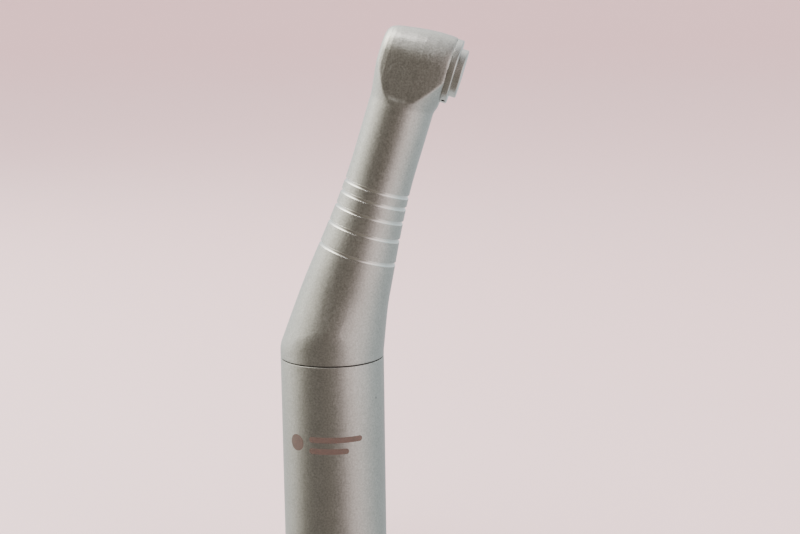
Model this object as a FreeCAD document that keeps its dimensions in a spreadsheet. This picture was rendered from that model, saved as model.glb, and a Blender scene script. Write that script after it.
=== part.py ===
"""Push-button contra-angle handpiece attachment for latch-type shanks.

Frame, millimetres: origin at the centre of the rear rim, +Z along the handle axis,
the neck leans towards +X, the push button faces +X and the tool side faces -X.

Three local frames carry the parts.  In each one, local z runs along a shaft:
  handle  along the handle axis, z = 0 at the rear rim
  neck    along the inclined neck, z = 0 where the neck axis crosses the handle axis
  head    along the spindle, z = 0 where the spindle axis crosses the neck axis,
          +z towards the button, +x back towards the neck
"""
import os
import re

import FreeCAD
import Part
import Sketcher

SIZES = {
    # outer form
    "sleeve_r": 9.0,
    "sleeve_len": 42.0,
    "sleeve_wall": 0.8,
    "seam_gap": 0.2,
    "collar_rise": 1.5,
    "bend_rise": 2.9,
    "bend_angle": 17.35,
    "neck_reach": 50.2,
    "neck_r": 5.52,
    "neck_flare": 1.315,
    "flare_len": 35.0,
    "groove_width": 0.68,
    "groove_depth": 0.2,
    "head_r": 5.66,
    "head_front": 6.0,
    "head_back": 5.95,
    "cap_r": 5.45,
    "cap_height": 1.1,
    "button_r": 4.08,
    "button_rise": 1.23,
    "press_travel": 0.8,
    # motor coupling
    "motor_bore_r": 6.0,
    "motor_depth": 24.0,
    # shafts and bearings
    "rear_shaft_r": 1.5,
    "rear_bearing_r": 4.0,
    "rear_bearing_w": 2.5,
    "neck_shaft_r": 1.25,
    "neck_bearing_r": 3.0,
    "neck_bearing_w": 2.0,
    "spindle_r": 1.8,
    "head_bearing_r": 3.5,
    "head_bearing_w": 1.5,
    # gears
    "crown_teeth": 12,
    "crown_r": 3.4,
    "bevel_teeth": 16,
    "bevel_r": 2.85,
    # chuck
    "shank_r": 1.175,
    "shank_clearance": 0.005,
    "latch_throw": 0.45,
    "wire_r": 0.12,
    # fits
}

DERIVED = {
    "bend_z": "sleeve_len + bend_rise",
    "head_x": "neck_reach * sin(bend_angle)",
    "head_z": "bend_z + neck_reach * cos(bend_angle)",
    "head_turn": "90 + bend_angle",
    "sleeve_bore_r": "sleeve_r - sleeve_wall",
    "shoulder_z": "sleeve_len - seam_gap / 2",
    "collar_z": "sleeve_len + seam_gap / 2",
    "spigot_r": "sleeve_bore_r - 1.6",
    "spigot_z": "sleeve_len + 2.4",
    "crown_room_r": "crown_r + 0.9",
    "rear_seat_z": "sleeve_len - 2.5",
    "rear_front_z": "rear_seat_z - rear_bearing_w / 2",
    "rear_back_z": "rear_seat_z - 6.5 - rear_bearing_w / 2",
    "rear_stack_z": "rear_back_z - rear_bearing_w / 2",
    "rear_room_r": "rear_bearing_r + 0.4",
    "neck_stack_z": "5",
    "neck_back_z": "neck_stack_z + neck_bearing_w / 2",
    "neck_seat_z": "neck_reach - 6.2",
    "neck_front_z": "neck_seat_z - neck_bearing_w / 2",
    "neck_nut_r": "neck_bearing_r + 0.4",
    "bevel_room_r": "bevel_r + 0.3",
    "head_room_r": "head_bearing_r + 0.1",
    "front_seat_z": "0.7 - head_front",
    "front_bearing_z": "front_seat_z + head_bearing_w / 2",
    "back_bearing_z": "bevel_r + 0.15 + head_bearing_w / 2",
    "holder_z": "bevel_r + 0.1",
    "back_seat_z": "back_bearing_z + head_bearing_w / 2",
    "ledge_z": "back_seat_z + 0.4",
    "cap_thread_r": "cap_r - 0.5",
    "cap_pocket_r": "cap_thread_r - 0.45",
    "cap_top": "head_back + cap_height",
    "lip_z": "cap_top - 0.55",
    "lip_r": "button_r + 0.07",
    "button_top": "cap_top + button_rise",
    "button_ceiling": "button_top - 1.0",
    "mouth_z": "back_seat_z + 0.3 + press_travel",
    "plate_low": "back_seat_z + 0.3",
    "plate_high": "mouth_z - 0.1",
    "cone_r": "spindle_r + 0.7",
    "tube_bore_r": "spindle_r + 0.2",
    "tube_r": "cone_r + 0.4",
    "chuck_bore_r": "shank_r + shank_clearance",
    "chuck_depth": "2.4",
    "plate_tip": "cone_r - 0.05",
}

GROOVES = (15.7, 19.8, 22.9, 25.4, 27.4)
FACE_SHARE = 0.8
SPANNER_ANGLE = -25

doc = FreeCAD.newDocument("contra_angle")
sheet = doc.addObject("Spreadsheet::Sheet", "Sizes")


def fill_sheet():
    """Driving sizes as plain numbers, then the sizes that follow from them."""
    rows = list(SIZES.items()) + list(DERIVED.items())
    for row, (word, entry) in enumerate(rows, start=1):
        sheet.set(f"A{row}", word)
        sheet.set(f"B{row}", str(entry) if word in SIZES else f"={entry}")
        sheet.setAlias(f"B{row}", word)
    doc.recompute()


def link(text):
    """Point the size words in an expression at the sheet."""
    def known(match):
        word = match.group()
        return f"Sizes.{word}" if word in SIZES or word in DERIVED else word
    return re.sub(r"[a-z_]\w*", known, str(text))


def number(text):
    """Present value of an expression."""
    return float(sheet.evalExpression(link(text)))


def bind(target, prop, text):
    target.setExpression(prop, link(text))


FRAMES = {
    "handle": None,
    "neck": ("0", "bend_z", "bend_angle"),
    "head": ("head_x", "head_z", "head_turn"),
}


def place(item, frame):
    """Put an object that is drawn in a local frame where that frame stands."""
    if FRAMES[frame] is None:
        return item
    across, up, turn = FRAMES[frame]
    axis = FreeCAD.Vector(0, 1, 0)
    base = FreeCAD.Vector(number(across), 0, number(up))
    item.Placement = FreeCAD.Placement(base, FreeCAD.Rotation(axis, number(turn)))
    bind(item, "Placement.Base.x", across)
    bind(item, "Placement.Base.z", up)
    bind(item, "Placement.Rotation.Angle", turn)
    return item


def origin_plane(body, role):
    return next(f for f in body.Origin.OriginFeatures if f.Role == role)


def closed_sketch(body, name, role, points):
    """Closed polygon on an origin plane, every corner tied to its expressions."""
    sketch = body.newObject("Sketcher::SketchObject", name)
    sketch.AttachmentSupport = (origin_plane(body, role), "")
    sketch.MapMode = "FlatFace"
    corners = [FreeCAD.Vector(number(a), number(b), 0) for a, b in points]
    count = len(corners)
    for k in range(count):
        sketch.addGeometry(Part.LineSegment(corners[k], corners[(k + 1) % count]), False)
    rules = [Sketcher.Constraint("Coincident", k, 2, (k + 1) % count, 1)
             for k in range(count)]
    ties = []
    for k, pair in enumerate(points):
        for kind, axis, text in (("DistanceX", -2, pair[0]), ("DistanceY", -1, pair[1])):
            if text == "0":
                rules.append(Sketcher.Constraint("PointOnObject", k, 1, axis))
                continue
            ties.append((len(rules), text))
            rules.append(Sketcher.Constraint(kind, -1, 1, k, 1, number(text)))
    sketch.addConstraint(rules)
    for index, text in ties:
        bind(sketch, f"Constraints[{index}]", text)
    return sketch


def lathe(name, points):
    """Body turned about local z from a closed outline of (radius, z) corners."""
    body = doc.addObject("PartDesign::Body", name)
    sketch = closed_sketch(body, name + "_outline", "XZ_Plane", points)
    turn = body.newObject("PartDesign::Revolution", name + "_turn")
    turn.Profile = (sketch, [""])
    turn.ReferenceAxis = (sketch, ["V_Axis"])
    turn.Angle = 360
    sketch.Visibility = False
    return body


def tube(name, inner, outer, low, high):
    return lathe(name, [(inner, low), (outer, low), (outer, high), (inner, high)])


def rod(name, radius, low, high):
    return lathe(name, [("0", low), (radius, low), (radius, high), ("0", high)])


def block(name, low, high):
    """Box between two corners given as expression triples."""
    box = doc.addObject("Part::Box", name)
    for prop, axis, a, b in zip(("Length", "Width", "Height"), "xyz", low, high):
        bind(box, prop, f"({b}) - ({a})")
        bind(box, f"Placement.Base.{axis}", a)
    return box


def cross_rod(name, radius, length, reach, angle, z):
    """Cylinder that points away from local z, starting at a distance from it."""
    pin = doc.addObject("Part::Cylinder", name)
    turn = (FreeCAD.Rotation(FreeCAD.Vector(0, 0, 1), angle)
            * FreeCAD.Rotation(FreeCAD.Vector(0, 1, 0), 90))
    pin.Placement = FreeCAD.Placement(FreeCAD.Vector(), turn)
    bind(pin, "Radius", radius)
    bind(pin, "Height", length)
    bind(pin, "Placement.Base.x", f"({reach}) * cos({angle})")
    bind(pin, "Placement.Base.y", f"({reach}) * sin({angle})")
    bind(pin, "Placement.Base.z", z)
    return pin


def join(name, items):
    result = doc.addObject("Part::MultiFuse", name)
    result.Shapes = items
    return result


def overlap(name, items):
    result = doc.addObject("Part::MultiCommon", name)
    result.Shapes = items
    return result


def group(name, items):
    result = doc.addObject("Part::Compound", name)
    result.Links = items
    return result


def cut(name, base, tools):
    tool = tools[0] if len(tools) == 1 else join(name + "_tools", tools)
    result = doc.addObject("Part::Cut", name)
    result.Base = base
    result.Tool = tool
    return result


nodes = {}


def keep(item, node, frame):
    """Name a finished sub-part and set it in its frame."""
    item.Label = node
    place(item, frame)
    nodes[node] = item
    return item


# bearings ------------------------------------------------------------------------

def ball_at(name, radius, reach, angle, z):
    ball = doc.addObject("Part::Sphere", name)
    bind(ball, "Radius", radius)
    bind(ball, "Placement.Base.x", f"({reach}) * cos({angle})")
    bind(ball, "Placement.Base.y", f"({reach}) * sin({angle})")
    bind(ball, "Placement.Base.z", z)
    return ball


def bearings(word, frame, bore, outer, width, stations, count):
    """Two ball bearings on one shaft: races, cages and balls."""
    section = f"({outer} - {bore})"
    pitch = f"({outer} + {bore}) / 2"
    ball = f"{section} * 0.29"
    wall = f"{section} * 0.28"
    reach = f"{section} * 0.14"
    made = {"outer_races": [], "inner_races": [], "cages": [], "balls": []}
    for place_no, z in enumerate(stations):
        tag = f"{word}_{place_no}"
        low = f"{z} - {width} / 2"
        high = f"{z} + {width} / 2"
        for side, inner, rim in (("outer_races", f"{outer} - {wall}", outer),
                                 ("inner_races", bore, f"{bore} + {wall}")):
            ring = tube(f"{tag}_{side}_ring", inner, rim, low, high)
            track = doc.addObject("Part::Torus", f"{tag}_{side}_track")
            bind(track, "Radius1", pitch)
            bind(track, "Radius2", f"{ball} + 0.02")
            bind(track, "Placement.Base.z", z)
            made[side].append(cut(f"{tag}_{side}", ring, [track]))
        half = f"{ball} * 1.4"
        hoop = tube(f"{tag}_hoop", f"{pitch} - {reach}", f"{pitch} + {reach}",
                    f"{z} - {half}", f"{z} + {half}")
        pockets = []
        for k in range(count):
            angle = 360.0 * k / count
            made["balls"].append(ball_at(f"{tag}_ball_{k}", ball, pitch, angle, z))
            pockets.append(cross_rod(f"{tag}_pocket_{k}", f"{ball} + 0.04", outer, "0",
                                     angle, z))
        made["cages"].append(cut(f"{tag}_cage", hoop, pockets))
    for side, items in made.items():
        keep(group(f"{word}_{side}", items), f"{word}_{side}", frame)


# gears ---------------------------------------------------------------------------

def bevel_gear(name, teeth, radius, apex, side, half_angle, hub, bore, turned):
    """Bevel gear with its apex on the shaft axis and its hub on the given side.

    half_angle is the pitch cone's; every tooth tapers to the apex.  turned puts a
    gap, not a tooth, on local +x.
    """
    hub_r, hub_z = hub
    tip = f"(1 / tan({half_angle} + 67.5 / {teeth} + 0.2))"
    root = f"(1 / tan({half_angle} - 67.5 / {teeth} - 1.6))"
    wide = f"tan(180 / {teeth} * 0.62)"
    thin = f"tan(180 / {teeth} * 0.22)"
    inner = f"{radius} * {FACE_SHARE}"
    rim = f"{radius} + 0.12"
    core = f"{radius} * {FACE_SHARE - 0.06}"

    def level(r, slope):
        return f"{apex} + ({side}) * ({r}) * {slope}"

    back = f"{level(radius, root)} + ({side}) * 0.15"
    body = lathe(name + "_gear", [
        (bore, level(core, root)), (core, level(core, root)),
        (rim, level(rim, root)), (rim, back), (hub_r, back), (hub_r, hub_z), (bore, hub_z)])
    blank = body.Tip
    sections = []
    for part, r in (("heel", radius), ("toe", inner)):
        deep = f"({root} + 0.06)"
        points = [(f"({r}) * {thin}", level(r, tip)), (f"({r}) * {wide}", level(r, deep)),
                  (f"-({r}) * {wide}", level(r, deep)), (f"-({r}) * {thin}", level(r, tip))]
        sketch = closed_sketch(body, f"{name}_{part}", "YZ_Plane", points)
        bind(sketch, "AttachmentOffset.Base.z", r)
        sections.append(sketch)
    tooth = body.newObject("PartDesign::AdditiveLoft", name + "_tooth")
    tooth.Profile = (sections[0], [""])
    tooth.Sections = [(sections[1], [""])]
    tooth.Ruled = True
    ring = body.newObject("PartDesign::PolarPattern", name + "_teeth")
    ring.Originals = [tooth]
    ring.Axis = (next(f for f in body.Origin.OriginFeatures if f.Role == "Z_Axis"), [""])
    ring.Angle = 360
    bind(ring, "Occurrences", teeth)
    body.Tip = ring
    blank.Visibility = False
    if turned:
        body.Placement = FreeCAD.Placement(FreeCAD.Vector(),
                                           FreeCAD.Rotation(FreeCAD.Vector(0, 0, 1), 10))
        bind(body, "Placement.Rotation.Angle", f"180 / {teeth}")
    return group(name, [body])


fill_sheet()

# handle: sleeve, coupling body, seal ---------------------------------------------

keep(lathe("sleeve", [
    ("sleeve_bore_r", "0"), ("sleeve_r - 0.15", "0"), ("sleeve_r", "0.15"),
    ("sleeve_r", "shoulder_z - 0.12"), ("sleeve_r - 0.12", "shoulder_z"),
    ("sleeve_bore_r", "shoulder_z")]), "sleeve", "handle")

keep(lathe("coupling_body", [
    ("motor_bore_r", "0"), ("sleeve_bore_r", "0"),
    ("sleeve_bore_r", "motor_depth * 0.25"), ("sleeve_bore_r - 0.6", "motor_depth * 0.25 + 0.5"),
    ("sleeve_bore_r - 0.6", "rear_seat_z - 3"), ("sleeve_bore_r", "rear_seat_z - 2.5"),
    ("sleeve_bore_r", "shoulder_z"), ("spigot_r", "shoulder_z"), ("spigot_r", "spigot_z"),
    ("crown_room_r", "spigot_z"), ("crown_room_r", "rear_seat_z + 0.8"),
    ("rear_bearing_r - 0.7", "rear_seat_z + 0.8"), ("rear_bearing_r - 0.7", "rear_seat_z"),
    ("rear_bearing_r", "rear_seat_z"), ("rear_bearing_r", "rear_stack_z"),
    ("rear_room_r", "rear_stack_z"), ("rear_room_r", "motor_depth"),
    ("motor_bore_r", "motor_depth"), ("motor_bore_r", "motor_depth * 0.8"),
    ("motor_bore_r + 0.35", "motor_depth * 0.8 - 0.3"),
    ("motor_bore_r + 0.35", "motor_depth * 0.8 - 1.1"),
    ("motor_bore_r", "motor_depth * 0.8 - 1.4")]), "coupling_body", "handle")

keep(tube("joint_seal", "spigot_r", "sleeve_r - 0.25", "shoulder_z", "collar_z"),
     "joint_seal", "handle")

# rear shaft ----------------------------------------------------------------------

keep(rod("rear_shaft", "rear_shaft_r", "motor_depth + 2", "bend_z - 1.1"),
     "rear_shaft", "handle")

dog = lathe("dog_blank", [
    ("rear_shaft_r", "motor_depth + 2"), ("rear_shaft_r + 0.4", "motor_depth + 2"),
    ("rear_shaft_r + 0.4", "motor_depth + 0.2"), ("rear_shaft_r + 1.7", "motor_depth + 0.2"),
    ("rear_shaft_r + 1.7", "motor_depth + 4"), ("rear_shaft_r + 0.6", "motor_depth + 4"),
    ("rear_shaft_r + 0.6", "rear_stack_z"), ("rear_shaft_r", "rear_stack_z")])
slot = block("dog_slot", ("-sleeve_r", "-0.9", "motor_depth"),
             ("sleeve_r", "0.9", "motor_depth + 1.9"))
keep(cut("drive_dog", dog, [slot]), "drive_dog", "handle")

nut = tube("rear_nut_ring", "rear_shaft_r + 0.9", "rear_room_r",
           "rear_stack_z - 1.5", "rear_stack_z")
slot = block("rear_nut_slot", ("-sleeve_r", "-0.5", "rear_stack_z - 2"),
             ("sleeve_r", "0.5", "rear_stack_z - 0.8"))
keep(cut("rear_nut", nut, [slot]), "rear_nut", "handle")

keep(tube("rear_spacer", "rear_bearing_r - 0.6", "rear_bearing_r",
          "rear_back_z + rear_bearing_w / 2", "rear_front_z - rear_bearing_w / 2"),
     "rear_spacer", "handle")

bearings("rear", "handle", "rear_shaft_r", "rear_bearing_r", "rear_bearing_w",
         ("rear_back_z", "rear_front_z"), 7)

keep(bevel_gear("rear_crown", "crown_teeth", "crown_r", "bend_z", -1,
                "(90 - bend_angle / 2)", ("rear_shaft_r + 0.6", "rear_seat_z"),
                "rear_shaft_r", True), "rear_crown", "handle")

# neck shaft ----------------------------------------------------------------------

keep(rod("neck_shaft", "neck_shaft_r", "1.1", "neck_reach - bevel_r - 0.2"),
     "neck_shaft", "neck")

keep(bevel_gear("neck_crown", "crown_teeth", "crown_r", "0", 1,
                "(90 - bend_angle / 2)", ("neck_shaft_r + 0.45", "neck_stack_z"),
                "neck_shaft_r", False), "neck_crown", "neck")

keep(bevel_gear("neck_bevel", "bevel_teeth", "bevel_r", "neck_reach", -1,
                "45", ("neck_shaft_r + 0.45", "neck_seat_z"),
                "neck_shaft_r", True), "neck_bevel", "neck")

nut = tube("neck_nut_ring", "neck_shaft_r + 0.8", "neck_nut_r",
           "neck_stack_z - 1.4", "neck_stack_z")
slot = block("neck_nut_slot", ("-sleeve_r", "-0.45", "neck_stack_z - 2"),
             ("sleeve_r", "0.45", "neck_stack_z - 0.7"))
keep(cut("neck_nut", nut, [slot]), "neck_nut", "neck")

keep(tube("neck_spacer", "neck_bearing_r - 0.45", "neck_bearing_r",
          "neck_stack_z + neck_bearing_w", "neck_seat_z - neck_bearing_w"),
     "neck_spacer", "neck")

bearings("neck", "neck", "neck_shaft_r", "neck_bearing_r", "neck_bearing_w",
         ("neck_back_z", "neck_front_z"), 7)

# head: spindle, gear, latch ------------------------------------------------------

stem = rod("spindle_stem", "spindle_r", "0.15 - head_front", "plate_high + 0.3")
shank_room = rod("shank_room", "chuck_bore_r", "-head_front", "chuck_depth")
relief = rod("shank_relief", "chuck_bore_r + 0.15", "chuck_depth - 0.01", "chuck_depth + 0.3")
flat_room = overlap("flat_room", [
    rod("flat_round", "chuck_bore_r + 0.2", "chuck_depth + 0.2", "plate_low"),
    block("flat_side", ("-2 * spindle_r", "-2 * spindle_r", "chuck_depth - 0.2"),
          ("chuck_bore_r * 0.62", "2 * spindle_r", "plate_low + 0.1"))])
tail_room = rod("tail_room", "chuck_bore_r + 0.2", "plate_low - 0.2", "plate_high + 1")
plate_room = block("plate_room", ("-2 * spindle_r", "-chuck_bore_r", "plate_low - 0.05"),
                   ("2 * spindle_r", "chuck_bore_r", "plate_high + 0.05"))
keep(cut("spindle", stem, [shank_room, relief, flat_room, tail_room, plate_room]),
     "spindle", "head")

keep(bevel_gear("head_gear", "bevel_teeth", "bevel_r", "0", -1, "45",
                ("spindle_r + 0.45", "front_bearing_z + head_bearing_w / 2"),
                "spindle_r", False), "head_gear", "head")

bearings("head", "head", "spindle_r", "head_bearing_r", "head_bearing_w",
         ("front_bearing_z", "back_bearing_z"), 8)

plate = doc.addObject("PartDesign::Body", "plate_blank")
half = "(chuck_bore_r - 0.08)"
sketch = closed_sketch(plate, "plate_outline", "XY_Plane", [
    ("plate_tip", "0.4"), ("plate_tip - 0.65", half), ("0.15 - spindle_r + 0.5", half),
    ("0.35 - spindle_r", "0.5"), ("0.35 - spindle_r", "-0.5"),
    ("0.15 - spindle_r + 0.5", f"-{half}"), ("plate_tip - 0.65", f"-{half}"),
    ("plate_tip", "-0.4")])
bind(sketch, "AttachmentOffset.Base.z", "plate_low")
pad = plate.newObject("PartDesign::Pad", "plate_pad")
pad.Profile = (sketch, [""])
bind(pad, "Length", "plate_high - plate_low")
window = doc.addObject("Part::Cylinder", "plate_window")
bind(window, "Radius", "chuck_bore_r - 0.18")
bind(window, "Height", "plate_high - plate_low + 2")
bind(window, "Placement.Base.x", "latch_throw * 0.5")
bind(window, "Placement.Base.z", "plate_low - 1")
keep(cut("latch_plate", plate, [window]), "latch_plate", "head")

coil = doc.addObject("Part::Torus", "latch_coil")
bind(coil, "Radius1", "spindle_r + wire_r + 0.01")
bind(coil, "Radius2", "wire_r")
bind(coil, "Placement.Base.z", "plate_low - 0.05 - wire_r")
gap = block("latch_gap", ("0", "-0.5", "plate_low - 1"), ("2 * spindle_r", "0.5", "plate_high"))
keep(cut("latch_spring", coil, [gap]), "latch_spring", "head")

# head: cap, holder, button -------------------------------------------------------

keep(lathe("bearing_holder", [
    ("head_bearing_r", "holder_z"), ("cap_pocket_r", "holder_z"), ("cap_pocket_r", "ledge_z"),
    ("tube_r + 0.15", "ledge_z"), ("tube_r + 0.15", "back_seat_z"),
    ("head_bearing_r", "back_seat_z")]), "bearing_holder", "head")

cap = lathe("cap_ring", [
    ("cap_pocket_r", "holder_z"), ("cap_thread_r", "holder_z"),
    ("cap_thread_r", "head_back"), ("cap_r", "head_back"), ("cap_r", "cap_top - 0.25"),
    ("cap_r - 0.25", "cap_top"), ("lip_r + 0.15", "cap_top"), ("lip_r", "cap_top - 0.15"),
    ("lip_r", "lip_z"), ("cap_pocket_r", "lip_z")])
holes = []
for k, angle in enumerate((SPANNER_ANGLE, SPANNER_ANGLE + 180)):
    holes.append(cross_rod(f"spanner_hole_{k}", "0.36", "1", "cap_r - 0.6", angle,
                           "head_back + cap_height / 2"))
keep(cut("head_cap", cap, holes), "head_cap", "head")

keep(lathe("button", [
    ("0", "button_ceiling"), ("tube_bore_r", "button_ceiling"),
    ("tube_bore_r", "mouth_z + (cone_r - tube_bore_r) * press_travel / latch_throw"),
    ("cone_r", "mouth_z"), ("tube_r", "mouth_z"), ("tube_r", "button_ceiling"),
    ("button_r - 0.6", "button_ceiling"), ("button_r - 0.6", "lip_z - 0.35"),
    ("cap_pocket_r - 0.1", "lip_z - 0.35"), ("cap_pocket_r - 0.1", "lip_z - 0.02"),
    ("button_r", "lip_z - 0.02"), ("button_r", "button_top - 0.3"),
    ("button_r - 0.3", "button_top"), ("0", "button_top")]), "button", "head")

coil_r = "(tube_r + button_r - 0.6) / 2"
coil_z = "ledge_z + wire_r + 0.01"
coil_rise = "(button_ceiling - ledge_z - 2 * wire_r - 0.02)"
coil = doc.addObject("PartDesign::Body", "button_spring")
wire = coil.newObject("Sketcher::SketchObject", "spring_wire")
wire.AttachmentSupport = (origin_plane(coil, "XZ_Plane"), "")
wire.MapMode = "FlatFace"
centre = FreeCAD.Vector(number(coil_r), number(coil_z), 0)
wire.addGeometry(Part.Circle(centre, FreeCAD.Vector(0, 0, 1), number("wire_r")), False)
wire.addConstraint([Sketcher.Constraint("DistanceX", -1, 1, 0, 3, centre.x),
                    Sketcher.Constraint("DistanceY", -1, 1, 0, 3, centre.y),
                    Sketcher.Constraint("Radius", 0, number("wire_r"))])
for index, text in enumerate((coil_r, coil_z, "wire_r")):
    bind(wire, f"Constraints[{index}]", text)
turns = coil.newObject("PartDesign::AdditiveHelix", "spring_turns")
turns.Profile = (wire, [""])
turns.ReferenceAxis = (wire, ["V_Axis"])
turns.Mode = 0
bind(turns, "Height", coil_rise)
bind(turns, "Pitch", f"{coil_rise} / 4")
keep(coil, "button_spring", "head")

# housing: skirt, neck, head barrel in one piece ----------------------------------


def flare(z):
    """Outer radius of the neck at a distance along it."""
    return f"(neck_r + neck_flare * (1 + cos(180 * ({z} + 2) / flare_len)))"


skirt_top = "(flare_len * 0.3)"
rings = []
for name, radius, z, frame in (("skirt_low", "sleeve_r", "sleeve_len + collar_rise", "handle"),
                               ("skirt_high", flare(skirt_top), skirt_top, "neck")):
    ring = doc.addObject("Part::Circle", name)
    bind(ring, "Radius", radius)
    if frame == "handle":
        bind(ring, "Placement.Base.z", z)
    else:
        turn = FreeCAD.Rotation(FreeCAD.Vector(0, 1, 0), number("bend_angle"))
        ring.Placement = FreeCAD.Placement(FreeCAD.Vector(), turn)
        bind(ring, "Placement.Rotation.Angle", "bend_angle")
        bind(ring, "Placement.Base.x", f"{z} * sin(bend_angle)")
        bind(ring, "Placement.Base.z", f"bend_z + {z} * cos(bend_angle)")
    rings.append(ring)
skirt = doc.addObject("Part::Loft", "skirt")
skirt.Sections = rings
skirt.Solid = True
skirt.Ruled = True

collar = rod("collar", "sleeve_r", "collar_z", "sleeve_len + collar_rise")

neck_outline = [("0", skirt_top), (flare(skirt_top), skirt_top)]
for z in (12.5, 14.2) + GROOVES:
    if z in GROOVES:
        end = f"{z} + groove_width"
        neck_outline += [(flare(z), str(z)), (f"{flare(z)} - groove_depth", str(z)),
                         (f"{flare(end)} - groove_depth", end), (flare(end), end)]
    else:
        neck_outline.append((flare(z), str(z)))
neck_outline += [(flare("30.5"), "30.5"), ("neck_r", "flare_len - 2"),
                 ("neck_r", "neck_reach - 5.2"), ("neck_r - 1.2", "neck_reach - 3.4"),
                 ("0", "neck_reach - 3.4")]
neck = place(lathe("neck_outer", neck_outline), "neck")

root = place(overlap("head_root", [
    rod("root_round", "neck_r - 0.02", "neck_reach - 9", "neck_reach"),
    block("root_cheeks", ("-head_r", "0.55 - head_r", "neck_reach - 10"),
          ("head_r", "head_r - 0.55", "neck_reach + 1"))]), "neck")

barrel = place(lathe("barrel", [
    ("0", "-head_front"), ("head_r * 0.48", "-head_front"),
    ("head_r * 0.62", "-head_front + 0.13"), ("head_r * 0.73", "-head_front + 0.55"),
    ("head_r * 0.8", "-head_front * 0.75"), ("head_r * 0.9", "-head_front * 0.37"),
    ("head_r * 0.965", "-head_front * 0.08"), ("head_r", "head_back * 0.25"),
    ("head_r * 1.005", "head_back * 0.5"), ("head_r", "head_back * 0.8"),
    ("cap_r", "head_back"), ("0", "head_back")]), "head")

outer = join("housing_outer", [collar, skirt, neck, root, barrel])

handle_room = rod("handle_room", "spigot_r", "sleeve_len - 1", "spigot_z")
bend_room = doc.addObject("Part::Sphere", "bend_room")
bind(bend_room, "Radius", "crown_room_r")
bind(bend_room, "Placement.Base.z", "bend_z")
neck_room = place(lathe("neck_room", [
    ("0", "0"), ("neck_nut_r", "0"), ("neck_nut_r", "neck_stack_z"),
    ("neck_bearing_r", "neck_stack_z"), ("neck_bearing_r", "neck_seat_z"),
    ("neck_bearing_r - 0.3", "neck_seat_z"), ("neck_bearing_r - 0.3", "neck_seat_z + 0.5"),
    ("bevel_room_r", "neck_seat_z + 0.5"), ("bevel_room_r", "neck_reach"),
    ("0", "neck_reach")]), "neck")
head_room = place(lathe("head_room", [
    ("0", "-head_front - 1"), ("spindle_r + 0.1", "-head_front - 1"),
    ("spindle_r + 0.1", "front_seat_z - 0.2"), ("head_bearing_r - 0.6", "front_seat_z - 0.2"),
    ("head_bearing_r - 0.6", "front_seat_z"),
    ("head_bearing_r", "front_seat_z"), ("head_bearing_r", "front_seat_z + head_bearing_w"),
    ("head_room_r", "front_seat_z + head_bearing_w"), ("head_room_r", "holder_z"),
    ("cap_thread_r", "holder_z"), ("cap_thread_r", "head_back + 1"),
    ("0", "head_back + 1")]), "head")
keep(cut("housing", outer, [handle_room, bend_room, neck_room, head_room]),
     "housing", "handle")

# check and export ----------------------------------------------------------------

doc.recompute()
faults = [f"{item.Name}: {item.State}" for item in doc.Objects
          if "Invalid" in item.State or "Error" in item.State]
os.makedirs("parts", exist_ok=True)
for node, item in nodes.items():
    if item.Shape.isNull() or not item.Shape.isValid() or not item.Shape.Solids:
        faults.append(f"{node}: no valid solid")
        continue
    item.Shape.exportStep(f"parts/{node}.step")
if faults:
    raise RuntimeError("; ".join(faults))
print(len(nodes), "sub-parts")
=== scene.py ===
"""Looks of the push-button contra-angle handpiece.

Sizes are millimetres; meshes, lights and the stage are metres.  The handle stands on its
rear rim and runs along +Z, the neck leans towards +X, the push button faces +X and the
open tool side faces -X.
"""
import math

import bmesh
import bpy
import numpy as np
from mathutils import Matrix


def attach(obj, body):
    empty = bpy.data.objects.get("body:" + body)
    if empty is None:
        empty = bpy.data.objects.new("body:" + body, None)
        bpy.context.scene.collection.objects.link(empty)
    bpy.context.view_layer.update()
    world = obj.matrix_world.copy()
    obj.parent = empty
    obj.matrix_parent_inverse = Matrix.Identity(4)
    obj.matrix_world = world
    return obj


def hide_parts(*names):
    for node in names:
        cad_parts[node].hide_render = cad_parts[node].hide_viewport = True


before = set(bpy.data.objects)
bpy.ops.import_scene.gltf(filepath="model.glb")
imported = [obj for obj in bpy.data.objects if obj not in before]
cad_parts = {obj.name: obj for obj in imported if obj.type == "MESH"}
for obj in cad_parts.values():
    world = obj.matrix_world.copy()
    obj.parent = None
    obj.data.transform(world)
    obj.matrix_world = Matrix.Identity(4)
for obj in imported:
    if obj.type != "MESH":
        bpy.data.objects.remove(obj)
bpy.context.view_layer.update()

MM = 0.001

# sizes, millimetres ----------------------------------------------------------------

SLEEVE_R = 9.0
SLEEVE_WALL = 0.8
SEAM_Z = 42.0
SEAM_HALF = 0.1
BEND_Z = SEAM_Z + 2.9
LEAN = math.radians(17.35)
REACH = 50.2
NECK_R = 5.52
FLARE = 1.315
FLARE_LEN = 35.0
SKIRT_END = 10.5
RINGS = (15.7, 19.8, 22.9, 25.4, 27.4)
RING_W = 0.68
RING_DEPTH = 0.2
HEAD_FRONT = -6.0
HEAD_BACK = 5.95
CAP_R = 5.45
CAP_TOP = 7.05
LIP_R = 4.15
BUTTON_R = 4.08
BUTTON_TOP = 8.28
SPANNER_TURN = math.radians(-25)
SPANNER_R = 0.36
CAP_THREAD_R = 4.95
CAP_BORE_R = 4.5
CAP_SEAT = 2.95
CAP_LEDGE = 6.5
CROWN_ROOM_R = 4.3
TOOL_MOUTH_R = 1.9

# heights and radii of the head's outline, measured from the spindle axis
SHOULDER_START = -7.8
SHOULDER_SLOPE = 0.5
SHOULDER_SOFT = 0.8
SHOULDER_TOOL_LOSS = 0.09
CHEEK_END = -6.3
FACE_END = -6.8
RUN_OUT = 0.3
TOOL_FACE_LEAN = 0.09
TOOL_FACE_LEAN_START = -1.5
EDGE_BLEND = 14.0
ROW_STEP = 0.22
SMOOTH_ANGLE = math.radians(32)

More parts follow.
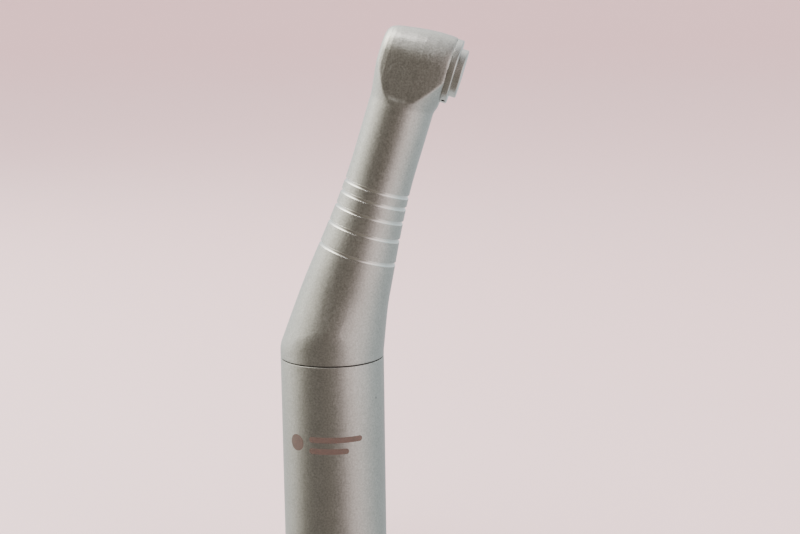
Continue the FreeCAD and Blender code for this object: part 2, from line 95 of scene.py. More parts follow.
UP_NECK = np.array([math.sin(LEAN), 0.0, math.cos(LEAN)])
TO_BUTTON = np.array([math.cos(LEAN), 0.0, -math.sin(LEAN)])
SIDE = np.array([0.0, 1.0, 0.0])
BEND = np.array([0.0, 0.0, BEND_Z])
HEAD = BEND + REACH * UP_NECK

HANDLE_AXES = (np.zeros(3), np.array([1.0, 0, 0]), SIDE, np.array([0, 0, 1.0]))
NECK_AXES = (BEND, TO_BUTTON, SIDE, UP_NECK)
HEAD_AXES = (HEAD, -UP_NECK, SIDE, TO_BUTTON)


# meshes ----------------------------------------------------------------------------

def place(points, axes):
    """Local (x, y, z) points set in a frame: origin + x X + y Y + z Z."""
    origin, across, side, along = axes
    return (origin + points[..., 0:1] * across + points[..., 1:2] * side
            + points[..., 2:3] * along)


def grid_mesh(name, points, finishes, row_finish=None):
    """Mesh from a grid of rows by columns, closed round the columns.

    A first or last row that has shrunk to a point becomes one pole vertex.
    """
    rows, cols = points.shape[:2]
    flat = points.reshape(-1, 3) * MM
    index = np.arange(rows * cols).reshape(rows, cols)
    for row in (0, rows - 1):
        if np.ptp(points[row], axis=0).max() < 1e-6:
            index[row] = index[row, 0]
    nxt = np.roll(index, -1, axis=1)
    quads = np.stack([index[:-1], nxt[:-1], nxt[1:], index[1:]], -1).reshape(-1, 4)
    which = np.repeat(np.arange(rows - 1), cols)
    faces = [tuple(dict.fromkeys(q)) for q in quads.tolist()]
    keep = [k for k, face in enumerate(faces) if len(face) > 2]
    used, packed = np.unique(np.concatenate([faces[k] for k in keep]), return_inverse=True)
    sizes = [len(faces[k]) for k in keep]
    packed = np.split(packed, np.cumsum(sizes)[:-1])
    mesh = bpy.data.meshes.new(name)
    mesh.from_pydata(flat[used].tolist(), [], [p.tolist() for p in packed])
    for finish in finishes:
        mesh.materials.append(finish)
    if row_finish is not None:
        mesh.polygons.foreach_set("material_index", np.asarray(row_finish)[which[keep]])
    mesh.polygons.foreach_set("use_smooth", np.ones(len(keep), bool))
    mesh.validate()
    mesh.set_sharp_from_angle(angle=SMOOTH_ANGLE)
    mesh.update()
    piece = bpy.data.objects.new(name, mesh)
    bpy.context.scene.collection.objects.link(piece)
    return piece


def turned(name, outline, axes, finish, cols=192):
    """Solid of revolution: radius r and height z of the outline carried round local z.

    The outline runs anticlockwise in (r, z); points on the axis become poles, and a
    ring-shaped outline is closed on itself.
    """
    outline = np.array(outline, float)
    if outline[0, 0] > 0:
        outline = np.vstack([outline, outline[:1]])
    angle = np.linspace(0, 2 * math.pi, cols, endpoint=False)
    r, z = outline[:, 0:1], outline[:, 1:2]
    local = np.stack([r * np.cos(angle), r * np.sin(angle), z + 0 * angle], -1)
    piece = grid_mesh(name, place(local, axes), [finish])
    if outline[0, 0] > 0:
        weld(piece)
    return piece


def weld(piece):
    """Merge the doubled first and last ring of a ring-shaped outline."""
    work = bmesh.new()
    work.from_mesh(piece.data)
    bmesh.ops.remove_doubles(work, verts=work.verts, dist=1e-7)
    work.to_mesh(piece.data)
    work.free()


def rounded(outline, radius, steps=5):
    """Outline with each corner swapped for a short arc-like Bezier of that radius.

    A corner's entry is (r, z) or (r, z, its own radius).
    """
    points = [np.array(p[:2], float) for p in outline]
    sizes = [p[2] if len(p) > 2 else radius for p in outline]
    result = []
    last = len(points) - 1
    for k, (point, size) in enumerate(zip(points, sizes)):
        ends = k in (0, last) and points[0][0] <= 0
        if ends or size <= 0:
            result.append(point)
            continue
        before, after = points[k - 1] - point, points[(k + 1) % len(points)] - point
        size = min(size, np.hypot(*before) * 0.45, np.hypot(*after) * 0.45)
        start = point + before / np.hypot(*before) * size
        end = point + after / np.hypot(*after) * size
        for u in np.linspace(0, 1, steps):
            result.append((1 - u) ** 2 * start + 2 * u * (1 - u) * point + u * u * end)
    return result


def stepped(start, steps):
    """Outline of a stepped room round its axis; each step is (radius, height reached)."""
    outline = [(0, start)]
    for radius, reached in steps:
        outline += [(radius, outline[-1][1]), (radius, reached)]
    return outline + [(0, outline[-1][1])]


def carve(piece, tools):
    """Take closed tool shapes out of a closed piece and keep the result as its mesh."""
    for tool in tools:
        step = piece.modifiers.new("carve", "BOOLEAN")
        step.operation = "DIFFERENCE"
        step.solver = "MANIFOLD"
        step.object = tool
    graph = bpy.context.evaluated_depsgraph_get()
    result = bpy.data.meshes.new_from_object(piece.evaluated_get(graph))
    piece.modifiers.clear()
    old = piece.data
    piece.data = result
    result.name = old.name
    bpy.data.meshes.remove(old)
    for tool in tools:
        bpy.data.objects.remove(tool)
    result.polygons.foreach_set("use_smooth", np.ones(len(result.polygons), bool))
    result.set_sharp_from_angle(angle=SMOOTH_ANGLE)
    result.update()


# housing: skirt, neck and head in one surface --------------------------------------

def neck_radius(along):
    """Outer radius: a half-cosine flare at the skirt, then straight."""
    lift = np.clip(along + 2, 0, FLARE_LEN)
    flare = FLARE * (1 + np.cos(math.pi * lift / FLARE_LEN))
    return NECK_R + flare


def head_radius(across):
    """Barrel radius along the spindle: a flat tool face, a round shoulder, a slow
    widening towards the button and a slight draw-in at the cap."""
    at = np.array([-6.2, -6.0, -5.93, -5.75, -5.45, -5.0, -4.2, -3.2, -2.2, -0.5, 1.2,
                   3.0, 4.8, 5.5, 5.95, 6.3])
    r = np.array([0.0, 2.5, 3.15, 3.65, 4.1, 4.42, 4.72, 4.93, 5.08, 5.36, 5.56, 5.66,
                  5.66, 5.6, 5.5, 5.42])
    return np.interp(across, at, r)


def head_limit(points):
    """How far a point (measured from the neck's base) is outside the housing.

    Three limits meet with a small blend: the turned neck with a shoulder that starts
    softly and runs out as a cone, slighter on the tool side; the barrel with straight
    cheeks below its axis that run out downwards; and the two end faces, the tool face
    leaning in a little below the axis.
    """
    across, side, along = points[..., 0], points[..., 1], points[..., 2]
    above = along - REACH
    rise = np.clip(above - SHOULDER_START, 0, None)
    shoulder = SHOULDER_SLOPE * rise * rise / (rise + SHOULDER_SOFT)
    shoulder = shoulder * (1 + SHOULDER_TOOL_LOSS * np.clip(across, -7, 0))
    turned_part = np.hypot(across, side) - neck_radius(along) - shoulder
    run_out = RUN_OUT * np.clip(CHEEK_END - above, 0, None) ** 2
    cheek = np.hypot(side, np.clip(above, 0, None)) - head_radius(across) - run_out
    lean = TOOL_FACE_LEAN * np.clip(TOOL_FACE_LEAN_START - above, 0, None)
    fade = RUN_OUT * np.clip(FACE_END - above, 0, None) ** 2
    faces = np.maximum(HEAD_FRONT + lean - across, across - HEAD_BACK) - fade
    limits = np.clip(EDGE_BLEND * np.stack([turned_part, cheek, faces]), -60, 60)
    return np.log(np.exp(limits).sum(0)) / EDGE_BLEND


def reach_out(origin, direction):
    """Distance to the housing surface along each ray, by halving the interval."""
    low = np.full(direction.shape[:-1], 1.0)
    high = np.full(direction.shape[:-1], 13.0)
    for _ in range(36):
        middle = (low + high) / 2
        inside = head_limit(origin + middle[..., None] * direction) < 0
        low = np.where(inside, middle, low)
        high = np.where(inside, high, middle)
    return (low + high) / 2


COLS = 384
ANGLE = np.linspace(0, 2 * math.pi, COLS, endpoint=False)
ROUND = np.stack([np.cos(ANGLE), np.sin(ANGLE), 0 * ANGLE], -1)
FROM_LEAN = np.abs((np.degrees(ANGLE) + 180) % 360 - 180)


def collar_height():
    """Height of the straight collar: low towards the lean, highest at the front and
    back, falling smoothly to the outside of the bend."""
    return np.interp(FROM_LEAN, [0, 20, 38, 52, 66, 76, 92, 110, 135, 160, 180],
                     [0.9, 1.0, 1.3, 2.3, 3.8, 5.0, 5.0, 4.2, 3.0, 2.3, 2.1])


def skirt_rows():
    """Rows from the seam to the neck.

    Straight collar, then for every angle a cubic curve from the collar's top edge to
    the tilted circle where the neck's own flare begins, meeting that flare smoothly.
    """
    low = SEAM_Z + SEAM_HALF
    height = SEAM_Z + collar_height()
    softness = np.interp(FROM_LEAN, [0, 60, 80, 110, 180], [0.12, 0.15, 0.6, 1.6, 1.0])
    ring = SLEEVE_R * ROUND
    edge = ring + np.stack([0 * ANGLE, 0 * ANGLE, height], -1)
    r_end = neck_radius(np.array(SKIRT_END))
    end = place(ROUND * r_end + np.array([0, 0, SKIRT_END]), NECK_AXES)
    slope = (neck_radius(np.array(SKIRT_END + 0.01)) - r_end) / 0.01
    tangent = place(ROUND * slope + np.array([0, 0, 1.0]),
                    (np.zeros(3), TO_BUTTON, SIDE, UP_NECK))
    length = np.linalg.norm(end - edge, axis=-1, keepdims=True)
    hold = end - tangent / np.linalg.norm(tangent, axis=-1, keepdims=True) * length * 0.3
    push = edge + (end - edge) * 0.3

    def curve(u):
        return ((1 - u) ** 3 * edge + 3 * u * (1 - u) ** 2 * push
                + 3 * u * u * (1 - u) * hold + u ** 3 * end)

    rows = [ring * 0 + [0, 0, low], ring * 0.5 + [0, 0, low],
            ring * (1 - 0.08 / SLEEVE_R) + [0, 0, low],
            ring * (1 - 0.02 / SLEEVE_R) + [0, 0, low + 0.03],
            ring + [0, 0, low + 0.1]]
    below = edge - np.stack([0 * ANGLE, 0 * ANGLE, np.minimum(softness, height - low - 0.3)], -1)
    rim = rows[-1]
    for u in np.linspace(0.15, 1, 6):
        rows.append(rim * (1 - u) + below * u)
    start = softness[:, None] / length
    beyond = curve(start)
    for u in np.linspace(0, 1, 9)[1:]:
        rows.append((1 - u) ** 2 * below + 2 * u * (1 - u) * edge + u * u * beyond)
    for u in np.linspace(0, 1, 41)[1:]:
        rows.append(curve(start + (1 - start) * u))
    return rows


def neck_rows():
    """Heights of the rows up the neck, each row's ring depth, and which are polished."""
    shape = np.array([0, 0.04, 0.12, 0.3, 0.5, 0.7, 0.88, 0.96, 1.0])
    dip = np.sqrt(np.clip(1 - (2 * shape - 1) ** 2, 0, 1)) ** 0.8
    heights, depths, polished = [], [], []
    start = SKIRT_END
    for stop in RINGS + (REACH,):
        plain = list(np.arange(start, stop, ROW_STEP)[int(start > SKIRT_END):])
        heights += plain
        depths += [0.0] * len(plain)
        polished += [0] * len(plain)
        if stop == REACH:
            break
        heights += list(stop + RING_W * shape)
        depths += list(RING_DEPTH * dip)
        polished += [1] * (len(shape) - 1) + [0]
        start = stop + RING_W
    return np.array(heights), np.array(depths), polished


def housing_outside():
    """Grid of points over the whole outside, and each row's finish.

    Skirt rows, then rows where rays across the neck meet the surface less the ring depth,
    then a dome of rays from the spindle axis, tilted up to one pole.
    """
    rows = skirt_rows()
    finish = [0] * (len(rows) - 1)
    heights, depths, polished = neck_rows()
    heights, depths, polished = heights[1:], depths[1:], polished[1:]
    origin = np.zeros((len(heights), COLS, 3))
    origin[..., 2] = heights[:, None]
    reach = reach_out(origin, np.broadcast_to(ROUND, origin.shape)) - depths[:, None]
    body = origin + ROUND * reach[..., None]
    tilt = np.radians(np.linspace(0, 90, 91))[:, None]
    top = np.stack([np.cos(tilt) * ROUND[:, 0], np.cos(tilt) * ROUND[:, 1],
                    np.sin(tilt) + 0 * ANGLE], -1)
    centre = np.array([0, 0, REACH])
    dome = centre + top * reach_out(centre, top)[..., None]
    dome[-1] = dome[-1].mean(0)
    points = np.concatenate([np.stack(rows), place(body, NECK_AXES), place(dome, NECK_AXES)])
    return points, finish + [0] + list(polished) + [0] * len(tilt)


# materials -------------------------------------------------------------------------

def linear(code):
    """sRGB hex value as linear RGBA."""
    part = np.array([int(code[k:k + 2], 16) for k in (0, 2, 4)]) / 255
    part = np.where(part <= 0.04045, part / 12.92, ((part + 0.055) / 1.055) ** 2.4)
    return (*part.tolist(), 1.0)


def add(tree, kind, inputs=(), stops=(), **settings):
    """One node with its settings; each input is (socket, value or output socket).

    Stops are the (position, colour) pairs of a colour ramp.
    """
    node = tree.nodes.new(kind)
    for key, value in settings.items():
        setattr(node, key, value)
    for socket, value in dict(inputs).items():
        if isinstance(value, bpy.types.NodeSocket):
            tree.links.new(value, node.inputs[socket])
        else:
            node.inputs[socket].default_value = value
    if stops:
        band = node.color_ramp.elements
        while len(band) < len(stops):
            band.new(0.5)
        for element, (at, colour) in zip(band, stops):
            element.position, element.color = at, colour
    return node


def grey(level):
    """The same level in all three channels."""
    return (level, level, level, 1.0)


def new_material(name):
    """Material, its tree, its shader and the Object coordinates."""
    material = bpy.data.materials.new(name)
    material.use_nodes = True
    tree = material.node_tree
    tree.nodes.clear()
    shader = add(tree, "ShaderNodeBsdfPrincipled")
    output = add(tree, "ShaderNodeOutputMaterial")
    tree.links.new(shader.outputs["BSDF"], output.inputs["Surface"])
    where = add(tree, "ShaderNodeTexCoord").outputs["Object"]
    return material, tree, shader, where


def dress(tree, shader, colour, gloss, bump):
    """Colour, roughness and bump led to the shader."""
    tree.links.new(colour, shader.inputs["Base Color"])
    tree.links.new(gloss.outputs["Color"], shader.inputs["Roughness"])
    tree.links.new(bump.outputs["Normal"], shader.inputs["Normal"])


# sockets of a Mix node that mixes colours
FACTOR, UNDER, OVER, MIXED = 0, 6, 7, 2
CLOUDS_PER_METRE = 260.0
PITS_PER_METRE = 210.0


def blasted_steel(name, light, dark, rough, grit_mm, grit_depth_mm, pits=True):
    """Stainless steel blasted with glass bead: an even satin with a fine sparkle.

    Grit gives colour, gloss and bump; faint clouds are 4 mm across, and some
    of the 5 mm cells hold one small dark pit.  The grit is drawn coarser than the real
    0.05 mm so that it still shows.
    """
    material, tree, shader, where = new_material(name)
    shader.inputs["Metallic"].default_value = 1.0
    grit = add(tree, "ShaderNodeTexNoise", {"Vector": where, "Scale": 1 / (grit_mm * MM),
                                            "Detail": 3.0, "Roughness": 0.65}).outputs["Fac"]
    cloud = add(tree, "ShaderNodeTexNoise", {"Vector": where, "Scale": CLOUDS_PER_METRE,
                                             "Detail": 4.0, "Roughness": 0.6}).outputs["Fac"]
    tone = add(tree, "ShaderNodeMix", {FACTOR: grit, UNDER: linear(dark), OVER: linear(light)},
               data_type="RGBA")
    patch = add(tree, "ShaderNodeValToRGB", {"Fac": cloud}, [(0.3, grey(0.94)), (0.7, grey(1.0))])
    colour = add(tree, "ShaderNodeMix", {FACTOR: 1.0, UNDER: tone.outputs[MIXED],
                                         OVER: patch.outputs["Color"]},
                 data_type="RGBA", blend_type="MULTIPLY")
    if pits:
        cells = add(tree, "ShaderNodeTexVoronoi", {"Vector": where, "Scale": PITS_PER_METRE})
        spots = add(tree, "ShaderNodeValToRGB", {"Fac": cells.outputs["Distance"]},
                    [(0.0, grey(0.0)), (0.035, grey(0.1)), (0.06, grey(1.0))])
        pick = add(tree, "ShaderNodeValToRGB", {"Fac": cells.outputs["Color"]},
                   [(0.0, grey(0.0)), (0.27, grey(0.0)), (0.28, grey(1.0))])
        either = add(tree, "ShaderNodeMix", {FACTOR: 1.0, UNDER: spots.outputs["Color"],
                                             OVER: pick.outputs["Color"]},
                     data_type="RGBA", blend_type="LIGHTEN")
        colour = add(tree, "ShaderNodeMix", {FACTOR: 0.55, UNDER: colour.outputs[MIXED],
                                             OVER: either.outputs[MIXED]},
                     data_type="RGBA", blend_type="MULTIPLY")
    gloss = add(tree, "ShaderNodeValToRGB", {"Fac": grit},
                [(0.3, grey(rough - 0.05)), (0.7, grey(rough + 0.06))])
    bump = add(tree, "ShaderNodeBump", {"Height": grit, "Strength": 1.0,
                                        "Distance": grit_depth_mm * MM})
    dress(tree, shader, colour.outputs[MIXED], gloss, bump)
    return material


def turned_metal(name, light, dark, rough, mark_mm, axes):
    """Metal finished on a lathe: bright, with fine rings round its axis.

    Noise squeezed along the axis to the width of a tool mark and stretched 50 mm wide
    across it gives colour, gloss and a 0.002 mm bump.
    """
    material, tree, shader, where = new_material(name)
    shader.inputs["Metallic"].default_value = 1.0
    to_local = Matrix(axes[1:]).to_euler()
    turn = add(tree, "ShaderNodeMapping", {"Vector": where, "Rotation": to_local})
    stretch = add(tree, "ShaderNodeMapping", {"Vector": turn.outputs["Vector"],
                                              "Scale": (20.0, 20.0, 1 / (mark_mm * MM))})
    rings = add(tree, "ShaderNodeTexNoise", {"Vector": stretch.outputs["Vector"],
                                             "Scale": 1.0, "Detail": 2.0}).outputs["Fac"]
    colour = add(tree, "ShaderNodeValToRGB", {"Fac": rings},
                 [(0.3, linear(dark)), (0.7, linear(light))])
    gloss = add(tree, "ShaderNodeValToRGB", {"Fac": rings},
                [(0.3, grey(rough - 0.04)), (0.7, grey(rough + 0.06))])
    bump = add(tree, "ShaderNodeBump", {"Height": rings, "Strength": 0.4, "Distance": 0.002 * MM})
    dress(tree, shader, colour.outputs["Color"], gloss, bump)
    return material


def moulded(name, light, dark, rough, grain_mm):
    """Non-metal with a fine mottled skin, such as rubber or phenolic resin."""
    material, tree, shader, where = new_material(name)
    grain = add(tree, "ShaderNodeTexNoise", {"Vector": where, "Scale": 1 / (grain_mm * MM),
                                             "Detail": 3.0}).outputs["Fac"]
    colour = add(tree, "ShaderNodeValToRGB", {"Fac": grain},
                 [(0.3, linear(dark)), (0.7, linear(light))])
    gloss = add(tree, "ShaderNodeValToRGB", {"Fac": grain},
                [(0.3, grey(rough - 0.06)), (0.7, grey(rough + 0.06))])
    bump = add(tree, "ShaderNodeBump", {"Height": grain, "Strength": 0.5, "Distance": 0.004 * MM})
    dress(tree, shader, colour.outputs["Color"], gloss, bump)
    return material


# stainless steel, blasted with glass bead: soft grey satin, fine sparkle, a few small pits
BLASTED = blasted_steel("bead_blasted_stainless", "DEDCD7", "8A8881", 0.34, 0.3, 0.02)
# stainless steel, blasted finer: smoother and a little brighter, for cap ring and button
SATIN = blasted_steel("fine_blasted_stainless", "DAD9D5", "B2B1AC", 0.27, 0.12, 0.002, False)
# stainless steel, polished on the lathe: the ring grooves read as thin bright lines
POLISHED = turned_metal("polished_ring_groove", "F4F2EE", "DEDCD6", 0.1, 0.05, NECK_AXES)
# stainless steel, bored or turned and left so: duller, with faint tool rings
BORED = turned_metal("bored_stainless", "C4C3BF", "96958F", 0.3, 0.12, HANDLE_AXES)
# hardened steel, ground: darker, with close rings round the shaft's own axis
GROUND_HANDLE = turned_metal("ground_hardened_steel", "A9A9AA", "7E7E80", 0.24, 0.06, HANDLE_AXES)
GROUND_HEAD = turned_metal("ground_hardened_steel_head", "A9A9AA", "7E7E80", 0.22, 0.06,
                           HEAD_AXES)
# bearing steel, lapped: bright and almost mirror smooth
LAPPED = turned_metal("lapped_bearing_steel", "D4D5D8", "B4B5B8", 0.14, 0.05, HANDLE_AXES)
# spring steel, drawn: mid grey with a soft shine
SPRING = turned_metal("drawn_spring_steel", "A09E98", "77756F", 0.3, 0.05, HEAD_AXES)
# brass, turned: warm yellow with fine rings
BRASS = turned_metal("turned_brass", "C9A25B", "A37C3B", 0.26, 0.1, HANDLE_AXES)
# phenolic resin, moulded: brown, mottled and half matt
RESIN = moulded("phenolic_resin_cage", "7A5230", "5A381F", 0.5, 0.15)
# nitrile rubber, moulded: near black and matt
RUBBER = moulded("black_nitrile_rubber", "1C1B1A", "0F0F0F", 0.62, 0.12)
# steel darkened by a laser: brown-grey and matt, without the sparkle round it
ETCH = moulded("dark_laser_etch", "5B5046", "3E362F", 0.55, 0.09)

CARRIED = {
    "coupling_body": BORED, "joint_seal": RUBBER, "rear_nut": BRASS, "neck_nut": BRASS,
    "rear_spacer": BORED, "neck_spacer": BORED, "bearing_holder": BORED,
    "rear_shaft": GROUND_HANDLE, "drive_dog": GROUND_HANDLE, "rear_crown": GROUND_HANDLE,
    "neck_shaft": GROUND_HANDLE, "neck_crown": GROUND_HANDLE, "neck_bevel": GROUND_HANDLE,
    "spindle": GROUND_HEAD, "head_gear": GROUND_HEAD, "latch_plate": SPRING,
    "latch_spring": SPRING, "button_spring": SPRING,
}
for word in ("rear", "neck", "head"):
    CARRIED[word + "_outer_races"] = LAPPED
    CARRIED[word + "_inner_races"] = LAPPED
    CARRIED[word + "_balls"] = LAPPED
    CARRIED[word + "_cages"] = RESIN
for node, finish in CARRIED.items():
    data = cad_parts[node].data
    data.materials.clear()
    data.materials.append(finish)
    data.polygons.foreach_set("use_smooth", np.ones(len(data.polygons), bool))


# pieces ----------------------------------------------------------------------------

def finish_piece(piece, body, slot, *nodes):
    """The piece rides a body and stands for the nodes named; the slot argument is not used."""
    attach(piece, body)
    if nodes:
        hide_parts(*nodes)
    return piece


SLEEVE_TOP = SEAM_Z - SEAM_HALF
BORE = SLEEVE_R - SLEEVE_WALL
sleeve = turned("sleeve_shell", rounded([
    (BORE, 0.0, 0.1), (SLEEVE_R, 0.0, 0.2), (SLEEVE_R, 14.0, 0), (SLEEVE_R, 28.0, 0),
    (SLEEVE_R, SLEEVE_TOP, 0.13), (BORE, SLEEVE_TOP, 0.02)], 0.1), HANDLE_AXES, BLASTED, 256)
finish_piece(sleeve, "handle", "bead_blasted_steel", "sleeve")

grid, row_finish = housing_outside()
housing = grid_mesh("housing_shell", grid, [BLASTED, POLISHED, BORED], row_finish[:len(grid) - 1])
ball = np.radians(np.linspace(-90, 90, 33)[1:-1])
crown_room = ([(0, BEND_Z - CROWN_ROOM_R)]
              + [(CROWN_ROOM_R * math.cos(a), BEND_Z + CROWN_ROOM_R * math.sin(a)) for a in ball]
              + [(0, BEND_Z + CROWN_ROOM_R)])
rooms = [
    turned("room_handle", stepped(SEAM_Z - 1, [(6.6, SEAM_Z + 2.4)]), HANDLE_AXES, BORED),
    turned("room_bend", crown_room, HANDLE_AXES, BORED),
    turned("room_neck", stepped(0.1, [(3.4, 5), (3.0, 44), (2.7, 44.5), (3.15, REACH - 0.1)]),
           NECK_AXES, BORED),
    turned("room_head", stepped(-7, [(TOOL_MOUTH_R, -5.5), (2.9, -5.3), (3.5, -3.8),
                                     (3.6, CAP_SEAT), (CAP_THREAD_R, 7.0)]), HEAD_AXES, BORED),
]
carve(housing, rooms)
finish_piece(housing, "handle", "bead_blasted_steel", "housing")

cap = turned("cap_ring", rounded([
    (CAP_BORE_R, CAP_SEAT, 0.05), (CAP_THREAD_R, CAP_SEAT, 0.05), (CAP_THREAD_R, HEAD_BACK, 0),
    (CAP_R, HEAD_BACK, 0.06), (CAP_R, CAP_TOP, 0.22), (LIP_R, CAP_TOP, 0.12),
    (LIP_R, CAP_LEDGE, 0.04), (CAP_BORE_R, CAP_LEDGE, 0)], 0.05), HEAD_AXES, SATIN, 256)
holes = []
for k, turn in enumerate((SPANNER_TURN, SPANNER_TURN + math.pi)):
    out = np.cos(turn) * HEAD_AXES[1] + np.sin(turn) * SIDE
    seat = HEAD + TO_BUTTON * (HEAD_BACK + (CAP_TOP - HEAD_BACK) / 2)
    holes.append(turned(f"spanner_hole_{k}", stepped(4.85, [(SPANNER_R, 6.5)]),
                        (seat, TO_BUTTON, np.cross(out, TO_BUTTON), out), SATIN, 48))
carve(cap, holes)
finish_piece(cap, "handle", "satin_steel", "head_cap")

SKIRT_IN, SKIRT_OUT = 2.9, 3.48
CEILING = 7.28
PUSH_EDGE = BUTTON_TOP - 0.02
DISH = BUTTON_TOP - 0.07
button = turned("push_button", rounded([
    (0, CEILING), (2.0, CEILING, 0.05), (2.0, 6.45, 0), (2.5, 5.6, 0.03), (SKIRT_IN, 5.6, 0.03),
    (SKIRT_IN, CEILING, 0.1), (SKIRT_OUT, CEILING, 0.1), (SKIRT_OUT, 6.13, 0.05),
    (4.4, 6.13, 0.05), (4.4, 6.48, 0.05), (BUTTON_R, 6.48, 0.02), (BUTTON_R, PUSH_EDGE, 0.24),
    (3.1, PUSH_EDGE, 0.3), (2.9, DISH, 0.3), (0, DISH)], 0.1, 7), HEAD_AXES, SATIN, 256)
finish_piece(button, "push_button", "satin_steel", "button")


MARK_PROUD = 0.012
MARK_SUNK = 0.03


def etched_patch(name, outline):
    """Flat outline (degrees round the sleeve, height) laid on the sleeve as a thin skin
    whose edge is closed down into the metal: rings from the middle out to the outline at
    the skin's radius, and back in to the middle below the metal's surface."""
    outline = np.array(outline, float)
    middle = outline.mean(0)
    shares = np.linspace(0, 1, 25)
    top = [(share, SLEEVE_R + MARK_PROUD) for share in shares]
    under = [(share, SLEEVE_R - MARK_SUNK) for share in shares[::-1]]
    rows = []
    for share, radius in top + under:
        flat = middle + (outline - middle) * share
        turn = np.radians(flat[:, 0])
        rows.append(np.stack([radius * np.cos(turn), radius * np.sin(turn), flat[:, 1]], -1))
    piece = grid_mesh(name, np.stack(rows), [ETCH])
    return finish_piece(piece, "handle", "bead_blasted_steel")


def bar_outline(start, end, low, high, count=24):
    """Rounded bar: long straight runs between two half-circle ends."""
    half = (high - low) / 2
    degrees = math.degrees(half / SLEEVE_R)
    turn = np.linspace(-90, 90, count)
    run = np.linspace(start + degrees, end - degrees, count)
    right = np.stack([end - degrees + degrees * np.cos(np.radians(turn)),
                      half * np.sin(np.radians(turn))], -1)
    left = np.stack([start + degrees - degrees * np.cos(np.radians(turn)),
                     -half * np.sin(np.radians(turn))], -1)
    top = np.stack([run[-2:0:-1], half + 0 * run[1:-1]], -1)
    bottom = np.stack([run[1:-1], -half + 0 * run[1:-1]], -1)
    return np.concatenate([right, top, left, bottom]) + [0, (low + high) / 2]


DISC_R = 1.45
turn = np.linspace(0, 2 * math.pi, 64, endpoint=False)
disc = np.stack([-127 + math.degrees(DISC_R / SLEEVE_R) * np.cos(turn),
                 28.3 + DISC_R * np.sin(turn)], -1)
etched_patch("etched_disc", disc)
etched_patch("etched_bar_long", bar_outline(-110.5, -50, 28.7, 29.7))
etched_patch("etched_bar_short", bar_outline(-110.5, -66, 26.7, 27.7))

# stage -----------------------------------------------------------------------------


def soft_light(name, azimuth, elevation, distance, size, power, colour):
    """Area light aimed at the middle of the neck, from azimuth and elevation degrees."""
    a, e = math.radians(azimuth), math.radians(elevation)
    target = np.array([0.005, 0, 0.06])
    back = np.array([math.sin(a) * math.cos(e), -math.cos(a) * math.cos(e), math.sin(e)])
    lamp = bpy.data.lights.new(name, "AREA")
    lamp.shape = "RECTANGLE"
    lamp.size, lamp.size_y = size
    lamp.energy = power
    lamp.color = linear(colour)[:3]
    item = bpy.data.objects.new(name, lamp)
    along = -back
    right = np.cross(along, [0, 0, 1.0])
    right /= np.linalg.norm(right)
    up = np.cross(right, along)
    spot = target + back * distance
    item.matrix_world = Matrix([[right[k], up[k], -along[k], spot[k]] for k in range(3)]
                               + [[0, 0, 0, 1]])
    item.visible_camera = False
    bpy.context.scene.collection.objects.link(item)


soft_light("left_panel", -100, 22, 0.6, (0.5, 0.6), 5.0, "FFFDF6")
soft_light("right_panel", 62, 18, 0.7, (0.45, 0.5), 2.2, "FFE9E6")
soft_light("top_panel", -30, 72, 0.8, (0.5, 0.5), 4.0, "FFFFFF")


def azimuth_tones(azimuth, stops):
    """Linear colour for each azimuth, smooth between (azimuth, hex, strength) stops."""
    at = np.array([stop[0] for stop in stops], float)
    shades = np.array([np.array(linear(stop[1])[:3]) * stop[2] for stop in stops])
    return np.stack([np.interp(np.degrees(azimuth), at, shades[:, k]) for k in range(3)], -1)


def card_tent(name, wall, roof):
    """Soft cards all round the object, seen only in its reflections.

    A floor ring turns up into a wall and over into a roof along one profile.  The tone
    follows the azimuth, evened out on the floor and given over to the roof's above.
    """
    azimuth = np.radians(np.linspace(-180, 180, 181))
    radius = np.array([0.0092, 0.06, 0.12, 0.16, 0.185, 0.19, 0.19, 0.17, 0.12, 0.04])
    height = np.array([0.001, 0.001, 0.001, 0.006, 0.03, 0.10, 0.19, 0.25, 0.29, 0.31])
    points = np.stack([radius[:, None] * np.sin(azimuth), -radius[:, None] * np.cos(azimuth),
                       height[:, None] + 0 * azimuth], -1)
    rows, cols = points.shape[:2]
    index = np.arange(rows * cols).reshape(rows, cols)
    quads = np.stack([index[:-1, :-1], index[:-1, 1:], index[1:, 1:], index[1:, :-1]], -1)
    mesh = bpy.data.meshes.new(name)
    mesh.from_pydata(points.reshape(-1, 3).tolist(), [], quads.reshape(-1, 4).tolist())
    even = np.array([0.34, 0.32, 0.29])
    low, high = azimuth_tones(azimuth, wall), azimuth_tones(azimuth, roof)
    floor_share = np.array([0.34, 0.34, 0.34, 0.3, 0.12, 0, 0, 0, 0, 0])[:, None, None]
    roof_share = np.array([0, 0, 0, 0, 0, 0, 0.35, 1, 1, 1])[:, None, None]
    tone = low * (1 - floor_share) + even * floor_share
    tone = tone * (1 - roof_share) + high * roof_share
    tone = np.concatenate([tone, np.ones((rows, cols, 1))], -1)
    layer = mesh.color_attributes.new("tone", "FLOAT_COLOR", "POINT")
    layer.data.foreach_set("color", tone.ravel())
    material = bpy.data.materials.new(name + "_glow")
    material.use_nodes = True
    tree = material.node_tree
    tree.nodes.clear()
    paint = add(tree, "ShaderNodeAttribute", attribute_name="tone")
    glow = add(tree, "ShaderNodeEmission", {"Color": paint.outputs["Color"]})
    output = add(tree, "ShaderNodeOutputMaterial")
    tree.links.new(glow.outputs["Emission"], output.inputs["Surface"])
    mesh.materials.append(material)
    tent = bpy.data.objects.new(name, mesh)
    bpy.context.scene.collection.objects.link(tent)
    for ray in ("camera", "diffuse", "transmission", "volume_scatter", "shadow"):
        setattr(tent, "visible_" + ray, False)


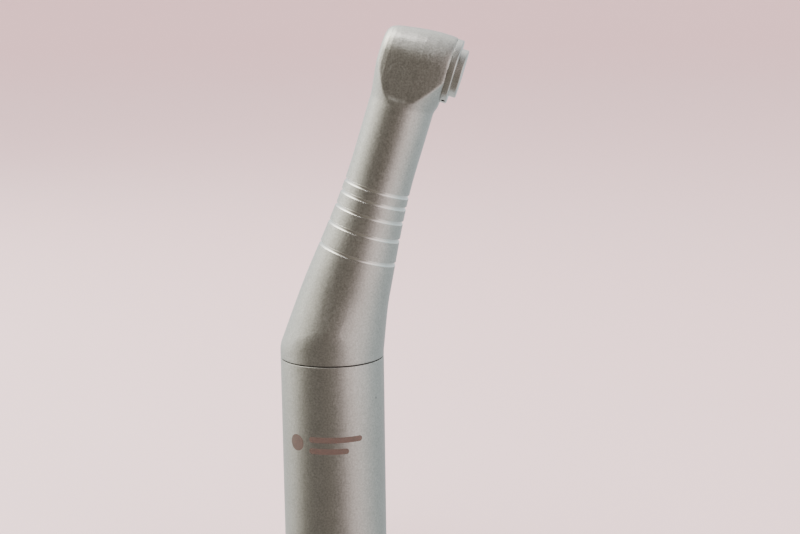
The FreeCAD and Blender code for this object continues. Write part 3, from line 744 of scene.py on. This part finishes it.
card_tent("card_tent", [
    (-180, "E6EAEA", 1.45), (-143, "E6EEEE", 1.62), (-95, "EEEEE8", 1.75), (-78, "EAE6D8", 1.25),
    (-65, "DCD8C8", 0.62), (-50, "D0C8BA", 0.33), (-39, "CEC4B8", 0.25), (-17, "D0C4B6", 0.30),
    (5, "D8CCBC", 0.34), (17, "E2D6CE", 0.42), (27, "EEDCD8", 0.66), (40, "F6E8E4", 1.40),
    (49, "F6E8E6", 1.80), (70, "F0EEEE", 1.72), (95, "DCEAEE", 1.30), (110, "D4E4EA", 1.20),
    (150, "D8E4EA", 1.25), (180, "E6EAEA", 1.45)], [
    (-180, "F0F0EE", 2.40), (-120, "FFFEF6", 6.50), (-75, "FFFDF0", 6.00), (-45, "F0EAD8", 1.20),
    (-20, "D8D0C0", 0.22), (30, "D8D0C4", 0.20), (60, "E4E0DC", 0.35), (100, "E6EAEE", 0.80),
    (180, "F0F0EE", 2.40)])


def studio_bowl():
    """Plain floor that turns up smoothly into a far wall all round."""
    radius = np.array([0, 0.5, 1.2, 2.0, 2.5, 2.8, 2.95, 3.0, 3.0])
    height = np.array([0, 0, 0, 0, 0.03, 0.12, 0.28, 0.5, 1.6])
    azimuth = np.linspace(0, 2 * math.pi, 96, endpoint=False)
    points = np.stack([radius[:, None] * np.cos(azimuth), radius[:, None] * np.sin(azimuth),
                       height[:, None] + 0 * azimuth], -1)
    material, _, shader, _ = new_material("floor_paint")
    shader.inputs["Base Color"].default_value = linear("F8DDDE")
    shader.inputs["Roughness"].default_value = 0.9
    bowl = grid_mesh("floor", points / MM, [material])
    bowl.data.flip_normals()


studio_bowl()

world = bpy.data.worlds.new("studio")
bpy.context.scene.world = world
world.use_nodes = True
world.node_tree.nodes["Background"].inputs["Color"].default_value = linear("FBF0F0")
world.node_tree.nodes["Background"].inputs["Strength"].default_value = 1.7

lens = bpy.data.cameras.new("camera")
lens.lens = 65.61
lens.sensor_width = 36.0
lens.clip_start, lens.clip_end = 0.005, 20
eye = bpy.data.objects.new("camera", lens)
RIGHT = (0.99631, 0.08504, -0.01162)
UP = (-0.00363, 0.17692, 0.98422)
BACK = (0.08575, -0.98054, 0.17658)
SPOT = (0.03350, -0.24560, 0.10184)
eye.matrix_world = Matrix([[RIGHT[k], UP[k], BACK[k], SPOT[k]] for k in range(3)]
                          + [[0, 0, 0, 1]])
bpy.context.scene.collection.objects.link(eye)
bpy.context.scene.camera = eye
